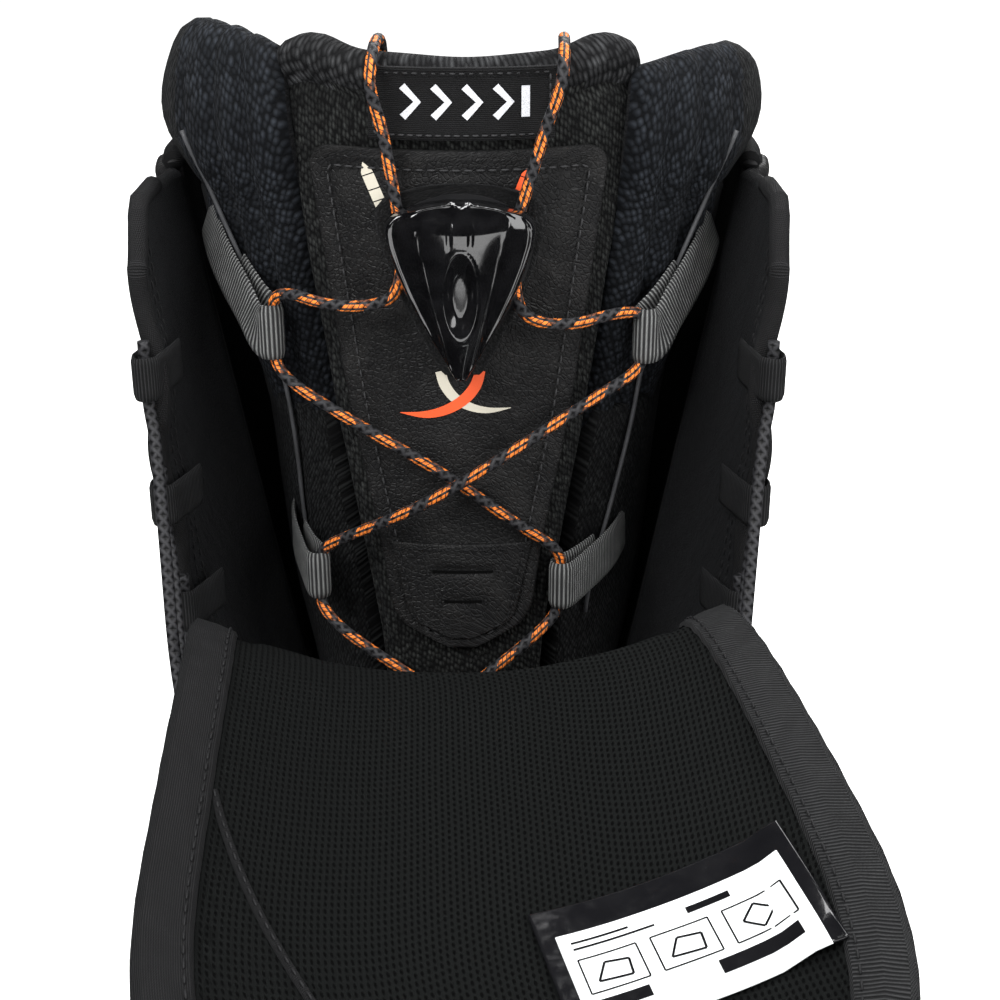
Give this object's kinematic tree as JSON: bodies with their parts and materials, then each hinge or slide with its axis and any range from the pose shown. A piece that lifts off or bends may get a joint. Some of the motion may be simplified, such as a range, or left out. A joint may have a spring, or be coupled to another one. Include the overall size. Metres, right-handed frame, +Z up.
{
  "type": "snowboard boot",
  "caption": "Soft laced snowboard boot standing open: outer tongue folded forward, eyestay wings spread, padded liner with its own lace and sliding lace lock.",
  "frame": {"origin": "middle of the sole's walking face, on the floor", "axes": "+Z up, the toe points along -Y, the wearer's left is +X"},
  "size_m": [0.1696, 0.3947, 0.3492],
  "materials": {
    "outsole_rubber": "matt moulded rubber",
    "midsole_foam": "satin moulded foam",
    "board": "matt fibre board",
    "shell_leather": "grained synthetic leather",
    "shell_fabric": "fleecy lining and woven face",
    "moulded": "satin moulded plastic",
    "webbing": "ribbed webbing",
    "black_webbing": "woven tape",
    "black_lace": "round braid",
    "orange_lace": "round braid, orange and black",
    "liner_knit": "knitted mesh",
    "tongue_mesh": "brushed spacer mesh",
    "foam": "felt and foam",
    "patch_leather": "grained synthetic leather",
    "lock_gloss": "glossy black plastic",
    "lock_matt": "matt plastic",
    "spring_steel": "bright wire",
    "label": "printed vinyl"
  },
  "bodies": {
    "shell": {"outsole": "outsole_rubber", "midsole": "midsole_foam", "insole_board": "board", "vamp": "shell_leather", "quarters": "shell_leather", "toe_cap": "moulded", "heel_counter": "moulded", "shaft": "shell_leather", "spine": "moulded", "rear_pull_loop": "black_webbing", "lower_lace_guides": "black_webbing", "lower_lace": "black_lace", "shell_lace": "black_lace", "wing_flex_rolls": "shell_fabric", "tongue_foot_padding": "tongue_mesh", "tongue_foot_skin": "shell_leather", "tongue_fold_cord": "moulded", "tongue_bend": "tongue_mesh", "handle_housing_left": "moulded", "handle_housing_right": "moulded", "liner_boot": "liner_knit", "liner_cuff_left": "liner_knit", "liner_cuff_right": "liner_knit", "footbed": "foam", "liner_heel_loop": "webbing", "web_loop_upper_left": "webbing", "web_loop_upper_right": "webbing", "web_loop_middle_left": "webbing", "web_loop_middle_right": "webbing"},
    "liner_tongue": {"liner_lace": "orange_lace", "liner_tongue": "liner_knit", "tongue_roll": "liner_knit", "tongue_patch": "patch_leather", "patch_foot": "patch_leather", "tongue_tag": "black_webbing", "lace_anchors": "black_webbing", "lace_rise_left": "orange_lace", "lace_rise_right": "orange_lace"},
    "lace_lock": {"lock_pad": "shell_leather", "lock_base": "lock_matt", "lock_cover": "lock_gloss", "lock_spring": "spring_steel"},
    "lock_wedge": {"lock_wedge": "lock_matt"},
    "outer_tongue": {"tongue_flap_padding": "tongue_mesh", "tongue_flap_skin": "shell_leather", "tongue_binding": "black_webbing", "tongue_label": "label"},
    "wing_left": {"wing_left": "shell_fabric", "wing_loops_left": "black_webbing"},
    "wing_right": {"wing_right": "shell_fabric", "wing_loops_right": "black_webbing"},
    "handle_left": {"handle_grip_left": "moulded", "handle_cords_left": "black_lace"},
    "handle_right": {"handle_grip_right": "moulded", "handle_cords_right": "black_lace"}
  },
  "joints": [
    {"name": "tongue_fold", "type": "hinge", "parent": "shell", "child": "outer_tongue", "pos_m": [0, -0.0906, 0.1879], "axis": [0.9986, 0.0523, 0], "range_deg": [-92, 8], "deforming": ["tongue_bend", "shell_lace"]},
    {"name": "wing_left_fold", "type": "hinge", "parent": "shell", "child": "wing_left", "pos_m": [-0.0468, -0.008, 0.152], "axis": [-0.1774, 0, 0.9841], "range_deg": [-12, 28], "deforming": ["shell_lace"]},
    {"name": "wing_right_fold", "type": "hinge", "parent": "shell", "child": "wing_right", "pos_m": [0.0468, -0.008, 0.152], "axis": [-0.1774, 0, -0.9841], "range_deg": [-12, 28], "deforming": ["shell_lace"]},
    {"name": "liner_tongue_tilt", "type": "hinge", "parent": "shell", "child": "liner_tongue", "pos_m": [0, -0.062, 0.118], "axis": [1, 0, 0], "range_deg": [-4, 0], "deforming": ["liner_lace"]},
    {"name": "lock_slide", "type": "slide", "parent": "liner_tongue", "child": "lace_lock", "axis": [0, 0, 1], "range_m": [-0.022, 0.01], "deforming": ["liner_lace", "lace_rise_left", "lace_rise_right"]},
    {"name": "wedge_slide", "type": "slide", "parent": "lace_lock", "child": "lock_wedge", "axis": [0, 0, 1], "range_m": [0, 0.0025], "stiffness_N_per_m": 120, "springref_m": -0.002, "deforming": ["lock_spring"]},
    {"name": "handle_left_pull", "type": "slide", "parent": "shell", "child": "handle_left", "axis": [-0.1908, 0, 0.9816], "range_m": [0, 0.022]},
    {"name": "handle_right_pull", "type": "slide", "parent": "shell", "child": "handle_right", "axis": [0.1908, 0, 0.9816], "range_m": [0, 0.022]}
  ]
}
